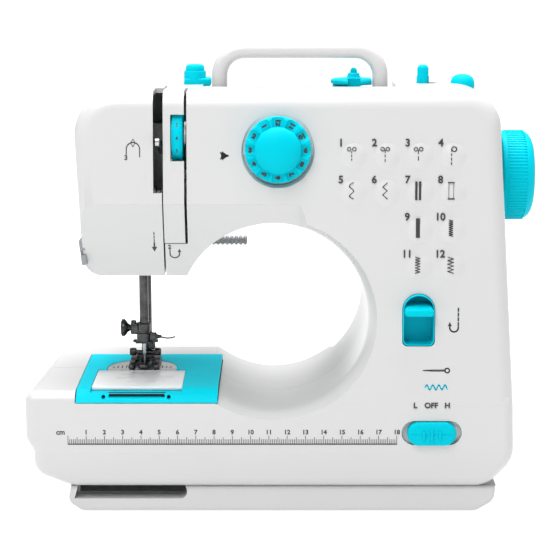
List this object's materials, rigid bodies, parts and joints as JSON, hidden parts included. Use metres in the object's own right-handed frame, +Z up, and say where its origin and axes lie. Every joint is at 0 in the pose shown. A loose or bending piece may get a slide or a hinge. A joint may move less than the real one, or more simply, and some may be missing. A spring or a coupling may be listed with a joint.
{
  "type": "sewing machine",
  "caption": "Compact electric sewing machine with a C-shaped body, carry handle, pattern dial, thread tension wheel, speed switch and storage drawer.",
  "frame": {"origin": "middle of the machine's overall box, on the surface it stands on", "axes": "+X to the sewer's right along the arm, +Y away from the sewer, +Z up"},
  "size_m": [0.282, 0.12, 0.2577],
  "materials": {
    "white_shell": "satin white moulding",
    "turquoise_trim": "satin turquoise moulding",
    "steel": "bright drawn steel",
    "chrome_plate": "polished plate",
    "dark_steel": "dark plated steel",
    "rubber": "matte black",
    "black_plastic": "matte black",
    "grey_plastic": "matte grey",
    "ivory_plastic": "natural nylon",
    "clear_plastic": "clear polished moulding"
  },
  "bodies": {
    "machine_body": {"face_cover": "white_shell", "front_shell": "white_shell", "channel_strip": "white_shell", "rear_shell": "white_shell", "pedestal": "white_shell", "foot_front_left": "rubber", "foot_front_right": "rubber", "foot_rear_left": "rubber", "foot_rear_right": "rubber", "bed_cover": "turquoise_trim", "needle_plate": "chrome_plate", "bobbin_case": "black_plastic", "shaft_bush_left": "ivory_plastic", "shaft_bush_right": "ivory_plastic", "motor": "dark_steel", "power_socket": "black_plastic", "pedal_socket": "black_plastic", "main_frame": "steel", "needle_frame": "steel", "tension_discs": "steel", "lever_pocket": "turquoise_trim", "thread_guide": "turquoise_trim", "spool_seat": "turquoise_trim", "winder_stop": "turquoise_trim", "thread_cutter": "grey_plastic", "lamp_lens": "clear_plastic", "drive_belt": "rubber", "timing_belt": "rubber", "presser_spring": "steel"},
    "top_shaft": {"main_shaft": "steel", "hand_wheel": "turquoise_trim", "shaft_pulley": "grey_plastic", "crank_disc": "steel", "timing_pulley": "ivory_plastic"},
    "motor_rotor": {"motor_pulley": "steel"},
    "bottom_shaft": {"lower_shaft": "steel"},
    "hook": {"rotary_hook": "steel"},
    "bobbin": {"bobbin": "clear_plastic"},
    "cams": {"cam_drum": "ivory_plastic"},
    "pattern_knob": {"pattern_dial": "turquoise_trim"},
    "tension_wheel": {"tension_dial": "turquoise_trim"},
    "take_up": {"takeup_lever": "steel"},
    "needle_assembly": {"needle_bar": "steel", "needle_clamp": "steel", "needle": "steel"},
    "needle_screw": {"clamp_screw": "dark_steel"},
    "link": {"drive_link": "steel"},
    "presser": {"presser_bar": "dark_steel", "presser_foot": "dark_steel", "foot_screw": "steel"},
    "presser_lever": {"presser_lifter": "grey_plastic"},
    "reverse_key": {"reverse_lever": "turquoise_trim"},
    "speed_knob": {"speed_switch": "turquoise_trim"},
    "handle": {"carry_handle": "white_shell"},
    "spool_rod": {"spool_pin": "turquoise_trim"},
    "winder": {"winder_spindle": "turquoise_trim"},
    "feed_lift": {"feed_bar": "steel"},
    "feed_teeth": {"feed_dog": "steel"},
    "slide_cover": {"bobbin_cover": "clear_plastic"},
    "storage_drawer": {"drawer": "white_shell"}
  },
  "joints": [
    {"name": "handwheel_turn", "type": "hinge", "parent": "machine_body", "child": "top_shaft", "pos_m": [0, 0, 0.184], "axis": [1, 0, 0], "continuous": true},
    {"name": "motor_turn", "type": "hinge", "parent": "machine_body", "child": "motor_rotor", "pos_m": [0.1075, 0.02, 0.05], "axis": [1, 0, 0], "continuous": true},
    {"name": "bottom_shaft_turn", "type": "hinge", "parent": "machine_body", "child": "bottom_shaft", "pos_m": [0, 0, 0.04], "axis": [1, 0, 0], "continuous": true},
    {"name": "hook_turn", "type": "hinge", "parent": "machine_body", "child": "hook", "pos_m": [-0.0806, -0.017, 0], "axis": [0, 0, 1], "continuous": true},
    {"name": "bobbin_turn", "type": "hinge", "parent": "machine_body", "child": "bobbin", "pos_m": [-0.0806, -0.017, 0], "axis": [0, 0, 1], "continuous": true},
    {"name": "cam_turn", "type": "hinge", "parent": "machine_body", "child": "cams", "pos_m": [0.024, 0, 0.204], "axis": [0, 1, 0], "continuous": true},
    {"name": "pattern_select", "type": "hinge", "parent": "machine_body", "child": "pattern_knob", "pos_m": [-0.003, 0, 0.2036], "axis": [0, 1, 0], "continuous": true},
    {"name": "tension_set", "type": "hinge", "parent": "machine_body", "child": "tension_wheel", "pos_m": [0, -0.0286, 0.2095], "axis": [1, 0, 0], "range_deg": [-150, 150]},
    {"name": "take_up_swing", "type": "hinge", "parent": "machine_body", "child": "take_up", "pos_m": [0, -0.012, 0.2], "axis": [1, 0, 0], "range_deg": [-22, 30]},
    {"name": "needle_stroke", "type": "slide", "parent": "machine_body", "child": "needle_assembly", "axis": [0, 0, 1], "range_m": [0, 0.021]},
    {"name": "needle_screw_turn", "type": "hinge", "parent": "needle_assembly", "child": "needle_screw", "pos_m": [0, 0.003, 0.096], "axis": [1, 0, 0], "range_deg": [0, 540]},
    {"name": "link_swing", "type": "hinge", "parent": "needle_assembly", "child": "link", "pos_m": [0, 0.003, 0.148], "axis": [1, 0, 0], "range_deg": [-20, 20]},
    {"name": "presser_lift", "type": "slide", "parent": "machine_body", "child": "presser", "axis": [0, 0, 1], "range_m": [0, 0.0068]},
    {"name": "presser_lever_turn", "type": "hinge", "parent": "machine_body", "child": "presser_lever", "pos_m": [-0.064, 0, 0.15], "axis": [0, 1, 0], "range_deg": [-38, 0]},
    {"name": "reverse_press", "type": "hinge", "parent": "machine_body", "child": "reverse_key", "pos_m": [0, -0.031, 0.1165], "axis": [1, 0, 0], "range_deg": [0, 8], "stiffness_Nm_per_rad": 0.05},
    {"name": "speed_select", "type": "slide", "parent": "machine_body", "child": "speed_knob", "axis": [1, 0, 0], "range_m": [-0.0025, 0.0025]},
    {"name": "handle_fold", "type": "hinge", "parent": "machine_body", "child": "handle", "pos_m": [0, 0.0032, 0.229], "axis": [1, 0, 0], "range_deg": [-88, 0]},
    {"name": "spool_pin_pull", "type": "slide", "parent": "machine_body", "child": "spool_rod", "axis": [0, 0, 1], "range_m": [0, 0.03]},
    {"name": "winder_shift", "type": "slide", "parent": "machine_body", "child": "winder", "axis": [1, 0, 0], "range_m": [0, 0.0045]},
    {"name": "feed_rise", "type": "slide", "parent": "machine_body", "child": "feed_lift", "axis": [0, 0, 1], "range_m": [-0.0015, 0]},
    {"name": "feed_travel", "type": "slide", "parent": "feed_lift", "child": "feed_teeth", "axis": [0, 1, 0], "range_m": [-0.0015, 0.0015]},
    {"name": "cover_slide", "type": "slide", "parent": "machine_body", "child": "slide_cover", "axis": [0, -1, 0], "range_m": [0, 0.045]},
    {"name": "drawer_pull", "type": "slide", "parent": "machine_body", "child": "storage_drawer", "axis": [-1, 0, 0], "range_m": [0, 0.062]}
  ],
  "couplings": [
    {"joint": "motor_turn", "follows": "handwheel_turn", "ratio": 3.35},
    {"joint": "bottom_shaft_turn", "follows": "handwheel_turn", "ratio": 1},
    {"joint": "hook_turn", "follows": "handwheel_turn", "ratio": 2},
    {"joint": "cam_turn", "follows": "handwheel_turn", "ratio": -0.071429},
    {"joint": "presser_lift", "follows": "presser_lever_turn", "m_per_rad": -0.009}
  ]
}
